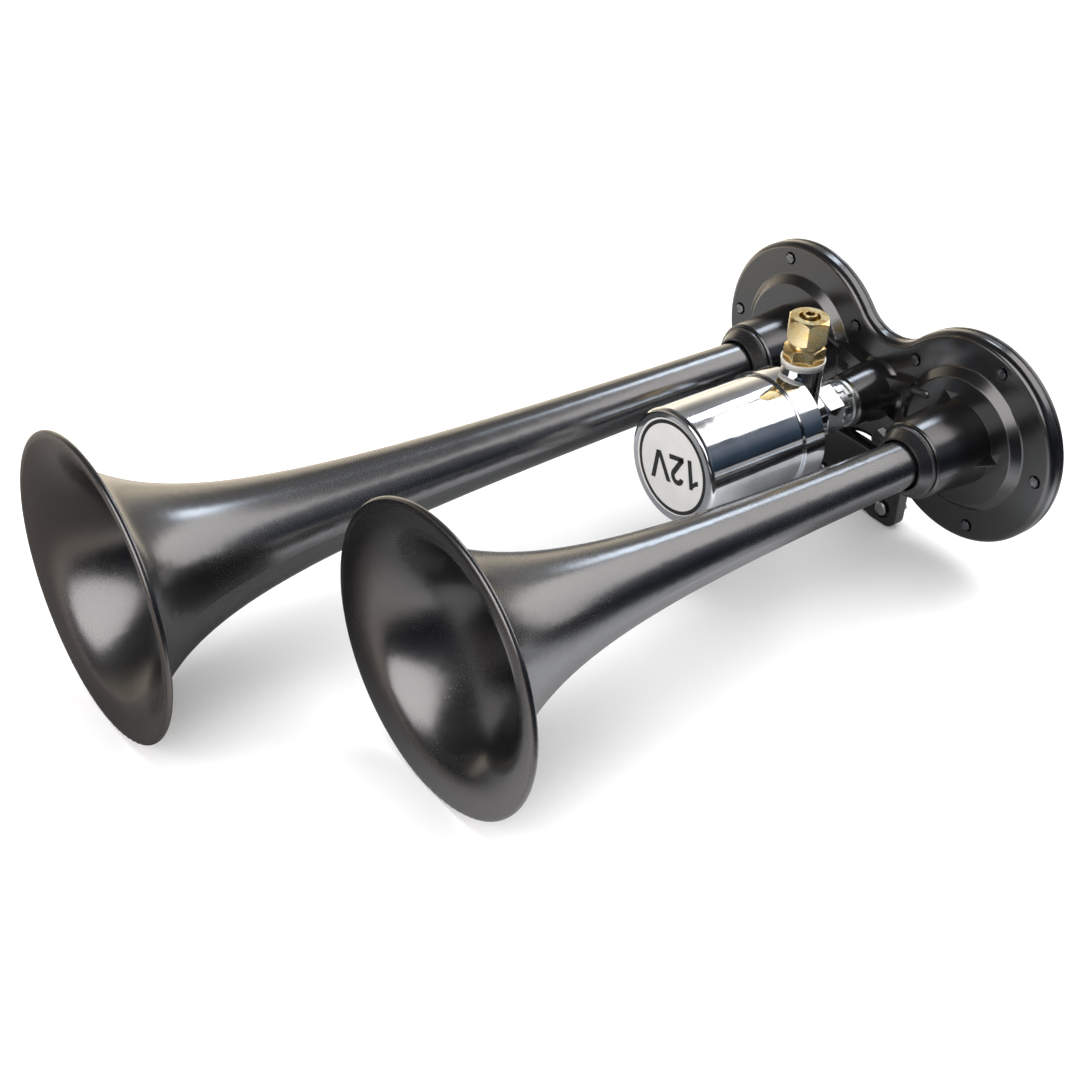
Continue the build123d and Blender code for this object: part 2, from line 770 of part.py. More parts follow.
def fitting_body():
    """Brass hexagon with a thread down, a thread up for the nut and the hose stub on top."""
    bar = hex_prism(fitting_flats, fitting_hex_height, fitting_hex_chamfer)
    body = Pos(0, port_axis, fitting_hex_low) * Rot(0, 0, fitting_hex_turn) * bar
    body += upright(inlet_thread_radius, port_height - port_thread_depth + 1, fitting_hex_low + 1)
    body += upright(nut_thread_radius, fitting_hex_high - 1, nut_top - nut_throat_depth - 1)
    body += upright(stub_radius, fitting_hex_high, nut_top + stub_proud)
    return body - upright(stub_bore, port_height - port_thread_depth, nut_top + stub_proud + 1)


def compression_nut():
    """Nut whose foot is turned down round and whose throat is open round the hose stub."""
    bar = hex_prism(nut_flats, nut_height - nut_foot_height, nut_chamfer)
    nut = Pos(0, port_axis, nut_bottom + nut_foot_height) * Rot(0, 0, nut_turn) * bar
    nut += upright(nut_flats / 2 - 0.5, nut_bottom, nut_bottom + nut_foot_height + nut_chamfer)
    nut -= upright(nut_bore, nut_bottom, nut_top + 1)
    return nut - upright(nut_thread_radius + thread_clearance, nut_bottom - 1, nut_top - nut_throat_depth)


# ---- every piece, one file each ---------------------------------------------------------------
def horn_pieces():
    right = Pos(half_spacing, 0, 0)
    left = Pos(-half_spacing, 0, 0)
    front_yoke = bobbin_front - yoke_thickness
    return {
        "diaphragm_housing": diaphragm_housing(),
        "back_cover": back_cover(),
        "cover_gasket": cover_gasket(),
        "short_diaphragm": right * diaphragm(),
        "long_diaphragm": left * diaphragm(),
        "cover_screws": cover_screws(),
        "mounting_bolts": mounting_bolts(),
        "short_trumpet": right * trumpet(short_trumpet_length, short_flare),
        "long_trumpet": left * trumpet(long_trumpet_length, long_flare),
        "short_nozzle": right * nozzle(),
        "long_nozzle": left * nozzle(),
        "short_lock_collar": right * lock_collar(short_lug_angle),
        "long_lock_collar": left * lock_collar(long_lug_angle),
        "short_seal_ring": right * seal_ring(),
        "long_seal_ring": left * seal_ring(),
        "plain_washer": ring(washer_radius, inlet_thread_radius + 0.1, spring_washer_rear, inlet_tip),
        "spring_washer": spring_washer(),
        "ring_nut": ring_nut(),
        "outlet_nipple": outlet_nipple(),
        "valve_body": valve_body(),
        "coil_can": coil_can(),
        "wire_grommet": wire_grommet(),
        "rear_yoke_plate": yoke_plate(rear_yoke_front, body_front),
        "front_yoke_plate": yoke_plate(front_yoke, bobbin_front),
        "coil_bobbin": coil_bobbin(),
        "coil_winding": coil_winding(),
        "core_tube": core_tube(),
        "body_seal": body_seal(),
        "fixed_core": fixed_core(),
        "plunger": plunger(),
        "plunger_seat": plunger_seat(),
        "plunger_spring": plunger_spring(),
        "label_disc": label_disc(),
        "cup_washer": cup_washer(),
        "fitting_body": fitting_body(),
        "compression_nut": compression_nut(),
    }


os.makedirs("parts", exist_ok=True)
for name, piece in horn_pieces().items():
    export_step(piece, f"parts/{name}.step")
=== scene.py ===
# Twin trumpet air horn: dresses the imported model, lights it and sets the camera.
from math import radians, cos, sin, pi
import numpy as np
import bpy
from mathutils import Matrix, Vector


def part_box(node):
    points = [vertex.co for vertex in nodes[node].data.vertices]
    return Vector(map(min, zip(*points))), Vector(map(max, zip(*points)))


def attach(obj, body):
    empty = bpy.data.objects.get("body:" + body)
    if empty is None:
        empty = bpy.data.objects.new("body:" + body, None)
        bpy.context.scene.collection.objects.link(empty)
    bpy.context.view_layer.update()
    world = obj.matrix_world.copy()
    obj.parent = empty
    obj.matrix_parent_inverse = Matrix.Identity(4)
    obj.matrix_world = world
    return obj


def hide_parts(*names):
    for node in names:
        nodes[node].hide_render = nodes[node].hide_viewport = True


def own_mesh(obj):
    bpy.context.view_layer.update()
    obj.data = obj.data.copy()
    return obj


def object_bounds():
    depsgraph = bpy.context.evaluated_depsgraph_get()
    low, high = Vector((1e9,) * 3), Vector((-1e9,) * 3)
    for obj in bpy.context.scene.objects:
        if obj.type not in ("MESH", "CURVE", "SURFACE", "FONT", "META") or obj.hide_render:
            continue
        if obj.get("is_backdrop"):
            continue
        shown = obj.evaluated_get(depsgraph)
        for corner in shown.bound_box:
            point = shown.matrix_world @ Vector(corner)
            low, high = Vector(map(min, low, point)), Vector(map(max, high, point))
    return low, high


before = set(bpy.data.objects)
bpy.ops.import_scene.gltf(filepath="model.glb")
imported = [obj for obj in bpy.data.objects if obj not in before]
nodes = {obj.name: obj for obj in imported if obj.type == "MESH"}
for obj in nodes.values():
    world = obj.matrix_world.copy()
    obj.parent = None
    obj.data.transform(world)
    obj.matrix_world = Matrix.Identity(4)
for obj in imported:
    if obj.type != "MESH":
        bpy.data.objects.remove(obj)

scene = bpy.context.scene
mm = 0.001
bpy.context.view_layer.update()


def linear(hexColour, alpha=1.0):
    # sRGB hex to the linear values that the shader sockets take
    channels = np.array([int(hexColour[i:i + 2], 16) / 255 for i in (1, 3, 5)])
    low = channels / 12.92
    high = ((channels + 0.055) / 1.055) ** 2.4
    return (*np.where(channels <= 0.04045, low, high).tolist(), alpha)


def addNode(material, kind, settings=None, links=None):
    # settings: property or socket values; links: socket name or number to (node, output)
    node = material.node_tree.nodes.new(kind)
    for key, value in (settings or {}).items():
        if isinstance(key, int) or key in node.inputs:
            node.inputs[key].default_value = value
        else:
            setattr(node, key, value)
    for key, (source, output) in (links or {}).items():
        material.node_tree.links.new(source.outputs[output], node.inputs[key])
    return node


def smoothRise(start, end, low=0.0, high=1.0):
    # Map Range settings: low until start, high from end on, and a smooth rise between them
    return {"interpolation_type": "SMOOTHSTEP", 1: start, 2: end, 3: low, 4: high}


def newMaterial(name):
    material = bpy.data.materials.new(name)
    material.use_nodes = True
    material.node_tree.nodes.clear()
    return material


def meshPiece(name, vertices, faces, material, body="horn", smooth=True):
    mesh = bpy.data.meshes.new(name)
    mesh.from_pydata(vertices.tolist(), [], faces)
    mesh.update()
    mesh.polygons.foreach_set("use_smooth", np.full(len(mesh.polygons), smooth))
    piece = bpy.data.objects.new(name, mesh)
    scene.collection.objects.link(piece)
    mesh.materials.append(material)
    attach(piece, body)
    return piece


def tubeQuads(count, sides, flip=False):
    # quads between rings of points; flip turns them round for rings that run the other way
    ring, here = np.meshgrid(np.arange(count - 1), np.arange(sides), indexing="ij")
    near, far, after = ring * sides, (ring + 1) * sides, (here + 1) % sides
    corners = [near + here, far + here, far + after, near + after]
    return np.stack(corners[:1] + corners[:0:-1] if flip else corners, -1).reshape(-1, 4)


def dress(names, material):
    # gives CAD nodes one finish, every slot of each mesh
    for name in names:
        mesh = nodes[name].data
        mesh.materials.clear()
        mesh.materials.append(material)


cameraView = {
    "place": (0.38299, -0.48528, 0.33631),   # metres
    "azimuth": 50.907,                       # degrees, 0 looks along +Y
    "elevation": 35.051,
    "roll": 3.654,
    "lens": 57.324,                          # mm
    "sensor": 36,
    "nearest": 0.01,                         # metres
}


def addCamera(view):
    turn, lift, roll = (radians(view[key]) for key in ("azimuth", "elevation", "roll"))
    back = Vector((sin(turn) * cos(lift), -cos(turn) * cos(lift), sin(lift)))
    level = Vector((cos(turn), sin(turn), 0))
    upright = back.cross(level)
    right = level * cos(roll) + upright * sin(roll)
    up = upright * cos(roll) - level * sin(roll)
    data = bpy.data.cameras.new("camera")
    data.lens = view["lens"]
    data.sensor_width = view["sensor"]
    data.clip_start = view["nearest"]
    camera = bpy.data.objects.new("camera", data)
    facing = Matrix((right, up, back)).transposed().to_4x4()
    camera.matrix_world = Matrix.Translation(view["place"]) @ facing
    scene.collection.objects.link(camera)
    scene.camera = camera


addCamera(cameraView)
print("camera placed")


studio = {
    "floorWidth": 6.0,
    "floorColour": "#f6f6f6",
    "floorLift": (0.12, 1.0),     # white that the floor keeps in a shadow, at the horn and far away
    "liftReach": (0.6, 1.5),      # metres from the horn over which it rises
    "padEdge": (0.08, 0.23),      # metres along X where the painted pool of light gives way to painted dark
    "padFront": (-0.42, -0.12),   # metres along Y over which the painted shade towards the camera gives way to the pad
    "padLeft": (-0.30, -0.12),    # metres along X over which its painted warm light cools
    "paintedPadGlow": (0.1, 0.0),        # painted glow the pad gives off on its left and on its right
    "padWarmLight": "#fff1d8",         # the pad's painted warm light on the left
    "padCoolLight": "#eef0f2",         # and its painted cooler light on the right
    "paintedShadeNear": "#9a9088",         # painted shade towards the camera
    "paintedDarkBeyond": "#30343a",         # painted dark past its edge, standing in for the unlit room
    # painted shadows on the pad: centre and radii in metres
    "paintedPadShadows": [((-0.10, -0.20), (0.16, 0.32)),
                  ((0.15, 0.27), (0.22, 0.22)),
                  ((0.02, 0.0), (0.13, 0.08))],
    "padShade": 0.42,             # light left in the middle of a painted shadow
    "shadeRim": 0.65,             # share of the radius where a painted shadow begins to fade
    # metres; radiance is the light that leaves each lamp, and the last two don't show in reflections
    "lamps": {
        "backSoftbox": {"place": (0.215, 0.87, 0.56), "aim": (0.0, -0.14, 0.0), "size": (0.86, 1.06),
                        "radiance": 1.78, "shape": "RECTANGLE", "colour": "#fffaf8", "mirrored": True},
        "frontSoftbox": {"place": (0.21, -1.47, 0.70), "aim": (0.0, -0.28, 0.0), "size": (1.5, 1.36),
                         "radiance": 2.5, "shape": "ELLIPSE", "colour": "#fffafa", "mirrored": True},
        "sideWindow": {"place": (-0.28, 0.44, 0.57), "aim": (0.0, -0.14, 0.0), "size": (0.16, 0.22),
                       "radiance": 6.2, "shape": "RECTANGLE", "colour": "#e4f0ff", "mirrored": True},
        "frontFill": {"place": (-0.35, -1.2, 0.45), "aim": (0.0, -0.2, 0.0), "size": (1.0, 1.0),
                      "radiance": 2.0, "shape": "RECTANGLE", "colour": "#ffffff", "mirrored": False},
        "ceilingLight": {"place": (-0.1, 0.1, 1.9), "aim": (0.0, -0.15, 0.0), "size": (2.4, 2.4),
                         "radiance": 3.2, "shape": "RECTANGLE", "colour": "#ffffff", "mirrored": False},
    },
    # heights of the view direction (-1 down, 1 up) and the light that comes from there
    "leftWall": [(0.0, (1.65, 1.45, 1.14)), (0.18, (1.4, 1.24, 1.0)), (0.34, (0.62, 0.56, 0.47)),
                 (0.5, (0.16, 0.15, 0.14)), (0.95, (0.10, 0.10, 0.11))],
    "backWall": [(0.0, (0.30, 0.29, 0.28)), (0.35, (0.42, 0.41, 0.40)),
                 (0.7, (0.30, 0.30, 0.31)), (0.95, (0.06, 0.06, 0.06))],
    "rightWall": [(0.0, (0.010, 0.013, 0.020)), (0.26, (0.04, 0.06, 0.09)),
                  (0.5, (0.18, 0.20, 0.24)), (0.95, (0.06, 0.06, 0.07))],
    "leftBlend": (-0.78, -0.46),  # X of the direction where the left wall turns into the back wall
    "rightBlend": (-0.1, 0.35),
    "frontBlend": (-0.5, 0.3),    # Y of the direction over which the walls brighten
    "frontShare": 0.25,           # what is left of them behind the camera
}


def addFloor(settings):
    # plain white for the camera; for reflections a painted pool of light, warm on the left, with painted
    # shadows and a painted glow, that ends in painted dark for the room
    material = newMaterial("studioFloorPaintedLight")
    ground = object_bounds()[0][2]
    path = addNode(material, "ShaderNodeLightPath")
    place = addNode(material, "ShaderNodeTexCoord")
    parts = addNode(material, "ShaderNodeSeparateXYZ", {}, {0: (place, "Object")})
    blends = {}
    for key, axis in (("padEdge", "X"), ("padFront", "Y"), ("padLeft", "X")):
        blend = addNode(material, "ShaderNodeMapRange", smoothRise(*settings[key]), {0: (parts, axis)})
        blends[key] = (blend, 0)
    # painted light warm to cool along X, then painted shade towards the camera, then painted dark past the
    # pad's edge
    warm, cool, near, dark = (linear(settings[key]) for key in ("padWarmLight", "padCoolLight", "paintedShadeNear", "paintedDarkBeyond"))
    mixing = {"data_type": "RGBA", 6: warm, 7: cool}
    sideways = addNode(material, "ShaderNodeMix", mixing, {0: blends["padLeft"]})
    mixing = {"data_type": "RGBA", 6: near}
    forward = addNode(material, "ShaderNodeMix", mixing, {0: blends["padFront"], 7: (sideways, 2)})
    mixing = {"data_type": "RGBA", 7: dark}
    edged = addNode(material, "ShaderNodeMix", mixing, {0: blends["padEdge"], 6: (forward, 2)})
    colour = (edged, 2)
    # painted shadows: each ellipse darkens the pad's colour towards the light left in its middle
    fading = smoothRise(settings["shadeRim"], 1.0, settings["padShade"])
    for middle, radii in settings["paintedPadShadows"]:
        mapping = {"vector_type": "TEXTURE", "Location": (*middle, ground), "Scale": (*radii, 1)}
        spot = addNode(material, "ShaderNodeMapping", mapping, {"Vector": (place, "Object")})
        away = addNode(material, "ShaderNodeVectorMath", {"operation": "LENGTH"}, {0: (spot, 0)})
        share = addNode(material, "ShaderNodeMapRange", fading, {0: (away, "Value")})
        links = {0: colour, "Scale": (share, 0)}
        colour = (addNode(material, "ShaderNodeVectorMath", {"operation": "SCALE"}, links), 0)
    bare = addNode(material, "ShaderNodeBsdfDiffuse", {}, {"Color": colour})
    # painted glow: the pad's colour given off as emission, fading from its left to its right
    left, right = settings["paintedPadGlow"]
    share = addNode(material, "ShaderNodeMapRange", {3: left, 4: right}, {0: blends["padLeft"]})
    shine = addNode(material, "ShaderNodeEmission", {}, {"Color": colour, "Strength": (share, 0)})
    mirrored = addNode(material, "ShaderNodeAddShader", {}, {0: (bare, 0), 1: (shine, 0)})
    diffuse = addNode(material, "ShaderNodeBsdfDiffuse", {"Color": linear(settings["floorColour"])})
    reach = addNode(material, "ShaderNodeVectorMath", {"operation": "LENGTH"}, {0: (place, "Object")})
    rising = smoothRise(*settings["liftReach"], *settings["floorLift"])
    lift = addNode(material, "ShaderNodeMapRange", rising, {0: (reach, "Value")})
    glow = addNode(material, "ShaderNodeEmission", {"Color": (1, 1, 1, 1)}, {"Strength": (lift, 0)})
    both = addNode(material, "ShaderNodeAddShader", {}, {0: (diffuse, 0), 1: (glow, 0)})
    links = {0: (path, "Is Camera Ray"), 1: (mirrored, 0), 2: (both, 0)}
    seen = addNode(material, "ShaderNodeMixShader", {}, links)
    addNode(material, "ShaderNodeOutputMaterial", {}, {"Surface": (seen, 0)})
    half = settings["floorWidth"] / 2
    corners = [(-half, -half, ground), (half, -half, ground), (half, half, ground), (-half, half, ground)]
    mesh = bpy.data.meshes.new("studioFloor")
    mesh.from_pydata(corners, [], [(0, 1, 2, 3)])
    mesh.materials.append(material)
    floor = bpy.data.objects.new("studioFloor", mesh)
    scene.collection.objects.link(floor)
    floor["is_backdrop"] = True


def addLamps(settings):
    # the power of each lamp is its radiance times pi times its area
    for name, lampLook in settings["lamps"].items():
        data = bpy.data.lights.new(name, "AREA")
        data.shape = lampLook["shape"]
        width, height = lampLook["size"]
        data.size, data.size_y = width, height
        area = width * height * (1 if lampLook["shape"] == "RECTANGLE" else pi / 4)
        data.energy = lampLook["radiance"] * pi * area
        data.color = linear(lampLook["colour"])[:3]
        lamp = bpy.data.objects.new(name, data)
        lamp.location = lampLook["place"]
        ahead = Vector(lampLook["aim"]) - Vector(lampLook["place"])
        lamp.rotation_euler = ahead.to_track_quat("-Z", "Y").to_euler()
        lamp.visible_camera = False
        lamp.visible_glossy = lampLook["mirrored"]
        scene.collection.objects.link(lamp)


def addWorld(settings):
    # dark room on the right, warm wall on the left for what the object mirrors; white behind it
    world = bpy.data.worlds.new("studioRoom")
    world.use_nodes = True
    world.node_tree.nodes.clear()
    scene.world = world
    place = addNode(world, "ShaderNodeTexCoord")
    parts = addNode(world, "ShaderNodeSeparateXYZ", {}, {0: (place, "Generated")})
    walls = []
    for key in ("leftWall", "backWall", "rightWall"):
        ramp = addNode(world, "ShaderNodeValToRGB", {}, {0: (parts, "Z")})
        elements = ramp.color_ramp.elements
        while len(elements) < len(settings[key]):
            elements.new(0.5)     # moved to its place below
        for element, (level, light) in zip(elements, settings[key]):
            element.position = level
            element.color = (*light, 1)
        walls.append((ramp, 0))
    colour = walls[0]
    for key, wall in zip(("leftBlend", "rightBlend"), walls[1:]):
        blend = addNode(world, "ShaderNodeMapRange", smoothRise(*settings[key]), {0: (parts, "X")})
        links = {0: (blend, 0), 6: colour, 7: wall}
        colour = (addNode(world, "ShaderNodeMix", {"data_type": "RGBA"}, links), 2)
    brightening = smoothRise(*settings["frontBlend"], settings["frontShare"])
    share = addNode(world, "ShaderNodeMapRange", brightening, {0: (parts, "Y")})
    room = addNode(world, "ShaderNodeBackground", {}, {"Color": colour, "Strength": (share, 0)})
    white = addNode(world, "ShaderNodeBackground", {"Color": (1, 1, 1, 1), "Strength": 1.0})
    path = addNode(world, "ShaderNodeLightPath")
    links = {0: (path, "Is Camera Ray"), 1: (room, 0), 2: (white, 0)}
    seen = addNode(world, "ShaderNodeMixShader", {}, links)
    addNode(world, "ShaderNodeOutputWorld", {}, {"Surface": (seen, 0)})


scene.view_settings.view_transform = "Standard"
addFloor(studio)
addLamps(studio)
addWorld(studio)
print("studio lit")


everyFinish = {
    "bevelSamples": 6,
    "toneEnds": (0.35, 0.65),     # where a noise reaches the darker and the lighter colour
    "noiseMiddle": (0.3, 0.7),    # the values between which most of a noise lies
}


def grainOf(size, detail=2.0):
    # noise settings for features that are about this many millimetres across
    return {"Scale": 1 / (size * mm), "Detail": detail}


def spreadOver(low, high):
    # Map Range settings that lay the middle of a noise onto low to high
    start, end = everyFinish["noiseMiddle"]
    return {1: start, 2: end, 3: low, 4: high}


def layFinish(material, look, settings, cloud, gloss, streaks, layers):
    # the cloud mixes the two colours, the streaks are added to the gloss, and over the rounded edges
    # lies one bump after the other; each layer is a noise and a depth in millimetres
    tone = addNode(material, "ShaderNodeValToRGB", {}, {0: (cloud, 0)})
    for element, position, key in zip(tone.color_ramp.elements, everyFinish["toneEnds"], ("dark", "light")):
        element.position, element.color = position, linear(look[key])
    rough = addNode(material, "ShaderNodeMath", {"operation": "ADD"}, {0: (gloss, 0), 1: (streaks, 0)})
    rounding = {"samples": everyFinish["bevelSamples"], "Radius": look["edge"] * mm}
    normal = addNode(material, "ShaderNodeBevel", rounding)
    for height, depth in layers:
        links = {"Height": (height, 0), "Normal": (normal, 0)}
        normal = addNode(material, "ShaderNodeBump", {"Strength": 1.0, "Distance": depth * mm}, links)
    links = {"Base Color": (tone, 0), "Roughness": (rough, 0), "Normal": (normal, 0)}
    shader = addNode(material, "ShaderNodeBsdfPrincipled", settings, links)
    addNode(material, "ShaderNodeOutputMaterial", {}, {"Surface": (shader, 0)})


def skinFinish(name, look):
    # enamel, plastic or rubber skin: a faint large cloudiness, fine orange peel and dust-fine specks
    material = newMaterial(name)
    place = {"Vector": (addNode(material, "ShaderNodeTexCoord"), "Object")}
    cloud = addNode(material, "ShaderNodeTexNoise", grainOf(look["cloud"], detail=3.0), place)
    peel = addNode(material, "ShaderNodeTexNoise", grainOf(look["peel"]), place)
    speck = addNode(material, "ShaderNodeTexNoise", grainOf(look["speck"], detail=1.0), place)
    around = spreadOver(look["gloss"] - look["glossSpread"], look["gloss"] + look["glossSpread"])
    gloss = addNode(material, "ShaderNodeMapRange", around, {0: (cloud, 0)})
    around = spreadOver(-look["speckGloss"], look["speckGloss"])
    streaks = addNode(material, "ShaderNodeMapRange", around, {0: (speck, 0)})
    layers = [(peel, look["peelDepth"]), (speck, look["speckDepth"])]
    layFinish(material, look, {"IOR": look["ior"]}, cloud, gloss, streaks, layers)
    return material


def metalFinish(name, look):
    # metal skin: clouded gloss, a slow waviness and fine scratches stretched along one axis
    material = newMaterial(name)
    place = {"Vector": (addNode(material, "ShaderNodeTexCoord"), "Object")}
    stretch = addNode(material, "ShaderNodeMapping", {"Scale": look["stretch"]}, place)
    scratch = addNode(material, "ShaderNodeTexNoise", grainOf(look["scratch"]), {"Vector": (stretch, 0)})
    cloud = addNode(material, "ShaderNodeTexNoise", grainOf(look["cloud"], detail=3.0), place)
    wave = addNode(material, "ShaderNodeTexNoise", grainOf(look["wave"], detail=1.0), place)
    upward = spreadOver(look["gloss"], look["gloss"] + look["glossSpread"])
    gloss = addNode(material, "ShaderNodeMapRange", upward, {0: (cloud, 0)})
    upward = spreadOver(0.0, look["scratchGloss"])
    streaks = addNode(material, "ShaderNodeMapRange", upward, {0: (scratch, 0)})
    layers = [(wave, look["waveDepth"]), (scratch, look["scratchDepth"])]
    layFinish(material, look, {"Metallic": 1.0}, cloud, gloss, streaks, layers)
    return material


# millimetres: cloud, peel, speck, wave and scratch are sizes of features, depths are heights of bumps
# stoved satin enamel on spun steel: deep black with broad soft highlights and a slight orange peel
enamelLook = {"dark": "#121214", "light": "#19191b", "cloud": 40, "peel": 1.6, "speck": 0.35,
              "gloss": 0.23, "glossSpread": 0.03, "speckGloss": 0.04, "peelDepth": 0.008,
              "speckDepth": 0.0035, "ior": 2.5, "edge": 0.25}
# injection moulded glass-filled nylon, satin tool finish: a touch duller than the enamel
nylonLook = {"dark": "#0d0d0e", "light": "#131314", "cloud": 30, "peel": 2.4, "speck": 0.3,
             "gloss": 0.2, "glossSpread": 0.03, "speckGloss": 0.04, "peelDepth": 0.006,
             "speckDepth": 0.003, "ior": 2.15, "edge": 0.25}
# the same nylon from an eroded tool: the collars and the cover look flatter
flatNylonLook = {"dark": "#131315", "light": "#1a1a1c", "cloud": 20, "peel": 1.2, "speck": 0.25,
                 "gloss": 0.28, "glossSpread": 0.03, "speckGloss": 0.05, "peelDepth": 0.004,
                 "speckDepth": 0.004, "ior": 2.0, "edge": 0.25}
# nitrile rubber of seals, gasket and grommet: almost no sheen
rubberLook = {"dark": "#161616", "light": "#1e1e1e", "cloud": 6, "peel": 0.8, "speck": 0.2,
              "gloss": 0.6, "glossSpread": 0.04, "speckGloss": 0.05, "peelDepth": 0.01,
              "speckDepth": 0.006, "ior": 1.5, "edge": 0.25}

# bright nickel-chrome plate on drawn steel: mirror with a slow waviness and a few hazy spots
chromeLook = {"dark": "#d3d6da", "light": "#e6e8ea", "cloud": 12, "wave": 9, "scratch": 0.5,
              "stretch": (1, 0.06, 1), "gloss": 0.035, "glossSpread": 0.04, "scratchGloss": 0.03,
              "waveDepth": 0.045, "scratchDepth": 0.0012, "edge": 0.08}
# free-cutting brass turned and polished: warm gold, fine turning rings round the vertical axis
brassLook = {"dark": "#f8d48c", "light": "#ffefbe", "cloud": 5, "wave": 3, "scratch": 0.35,
             "stretch": (0.1, 0.1, 1), "gloss": 0.19, "glossSpread": 0.1, "scratchGloss": 0.06,
             "waveDepth": 0.006, "scratchDepth": 0.002, "edge": 0.25}
# zinc-plated steel: cool grey with a cloudy passivated sheen
zincLook = {"dark": "#c2c6c8", "light": "#e4e6e4", "cloud": 3, "wave": 2, "scratch": 0.3,
            "stretch": (1, 0.3, 1), "gloss": 0.25, "glossSpread": 0.12, "scratchGloss": 0.06,
            "waveDepth": 0.008, "scratchDepth": 0.003, "edge": 0.2}
# black oxide on steel screws: the grey of the steel gleams through a thin oily film
oxideLook = {"dark": "#6e6f72", "light": "#a0a2a5", "cloud": 1.5, "wave": 0.8, "scratch": 0.2,
             "stretch": (1, 0.3, 1), "gloss": 0.14, "glossSpread": 0.1, "scratchGloss": 0.06,
             "waveDepth": 0.006, "scratchDepth": 0.003, "edge": 0.25}
# enamelled copper wire: deep reddish gold under varnish, ridged by the turns
copperLook = {"dark": "#a4552c", "light": "#c87a45", "cloud": 6, "wave": 0.8, "scratch": 0.5,
              "stretch": (0.1, 1, 0.1), "gloss": 0.22, "glossSpread": 0.08, "scratchGloss": 0.08,
              "waveDepth": 0.03, "scratchDepth": 0.01, "edge": 0.2}
# white polyester label film: flat, faintly mottled, with the softest sheen
filmLook = {"dark": "#f1f0ed", "light": "#f7f6f4", "cloud": 9, "peel": 1.1, "speck": 0.2,
            "gloss": 0.42, "glossSpread": 0.04, "speckGloss": 0.03, "peelDepth": 0.004,
            "speckDepth": 0.001, "ior": 1.5, "edge": 0.1}
# screen-printed ink on the film: near black, a little matt, faintly uneven
inkLook = {"dark": "#1b1b1c", "light": "#272728", "cloud": 3, "peel": 0.5, "speck": 0.15,
           "gloss": 0.5, "glossSpread": 0.04, "speckGloss": 0.05, "peelDepth": 0.003,
           "speckDepth": 0.001, "ior": 1.5, "edge": 0.02}
# natural nylon washer: milky white with a waxy gleam
milkyLook = {"dark": "#d9d6cf", "light": "#e8e6e1", "cloud": 4, "peel": 0.9, "speck": 0.2,
             "gloss": 0.3, "glossSpread": 0.04, "speckGloss": 0.03, "peelDepth": 0.01,
             "speckDepth": 0.002, "ior": 1.53, "edge": 0.3}

satinEnamel = skinFinish("satinBlackEnamel", enamelLook)
mouldedNylon = skinFinish("mouldedBlackNylon", nylonLook)
flatNylon = skinFinish("erodedBlackNylon", flatNylonLook)
nitrileRubber = skinFinish("nitrileRubber", rubberLook)
brightChrome = metalFinish("brightChromePlate", chromeLook)
polishedBrass = metalFinish("polishedBrass", brassLook)
zincPlate = metalFinish("zincPlatedSteel", zincLook)
blackOxide = metalFinish("blackOxideSteel", oxideLook)
copperWire = metalFinish("enamelledCopperWire", copperLook)
labelFilm = skinFinish("whiteLabelFilm", filmLook)
printInk = skinFinish("blackPrintInk", inkLook)
milkyNylon = skinFinish("naturalNylon", milkyLook)
print("materials made")

dress(["long_trumpet", "short_trumpet"], satinEnamel)
dress(["diaphragm_housing"], mouldedNylon)
dress(["back_cover", "long_lock_collar", "short_lock_collar"], flatNylon)
dress(["cover_screws"], blackOxide)
dress(["cover_gasket", "long_seal_ring", "short_seal_ring", "wire_grommet", "body_seal", "plunger_seat"],
      nitrileRubber)
dress(["coil_can", "valve_body", "outlet_nipple"], brightChrome)
dress(["fitting_body", "compression_nut", "core_tube", "long_nozzle", "short_nozzle"], polishedBrass)
dress(["mounting_bolts", "plain_washer", "spring_washer", "ring_nut", "long_diaphragm", "short_diaphragm",
       "rear_yoke_plate", "front_yoke_plate", "fixed_core", "plunger", "plunger_spring"], zincPlate)
dress(["coil_winding"], copperWire)
dress(["coil_bobbin", "cup_washer"], milkyNylon)
dress(["label_disc"], labelFilm)
print("parts dressed")


# the ring and the figures printed on the coil can's label
labelPrint = {
    "centre": (0.55, 0.2),        # millimetres along X and Z from the can's axis
    "lift": 0.02,                 # in front of the film
    "ringRadius": 17.6,
    "ringWidth": 1.5,
    "ringSteps": 128,
    "bowlSteps": 33,
    "turn": 194.1,                # degrees from +X to the reading direction
    "stroke": 2.07,
    # outlines and strokes in millimetres: along the reading direction and up
    "one": [(-11.24, -5.3), (-9.12, -5.3), (-9.12, 6.25), (-10.71, 6.25), (-11.45, 5.09),
            (-12.72, 4.24), (-14.1, 3.82), (-14.1, 1.91), (-12.61, 2.44), (-11.24, 3.39)],
    "vee": [(5.51, -5.3), (7.95, -5.3), (12.3, 6.25), (9.96, 6.25), (6.73, -2.65),
            (3.5, 6.25), (1.17, 6.25)],
    "twoBase": [(-7, -5.3), (0.95, -5.3), (0.95, -3.34), (-7, -3.34)],
    "twoBowl": ((-2.76, 2.92), 2.44, 168, -28),   # centre, radius, first and last angle
    "twoFoot": (-6.04, -4.13),
}


def onLabel(points, settings, plane):
    # turns flat points by the reading angle about the label's middle and sets them on its plane
    angle = radians(settings["turn"])
    along, up = points[:, 0], points[:, 1]
    x = settings["centre"][0] + along * cos(angle) - up * sin(angle)
    z = settings["centre"][1] + along * sin(angle) + up * cos(angle)
    return np.stack([x, np.full(len(x), plane), z], 1) * mm


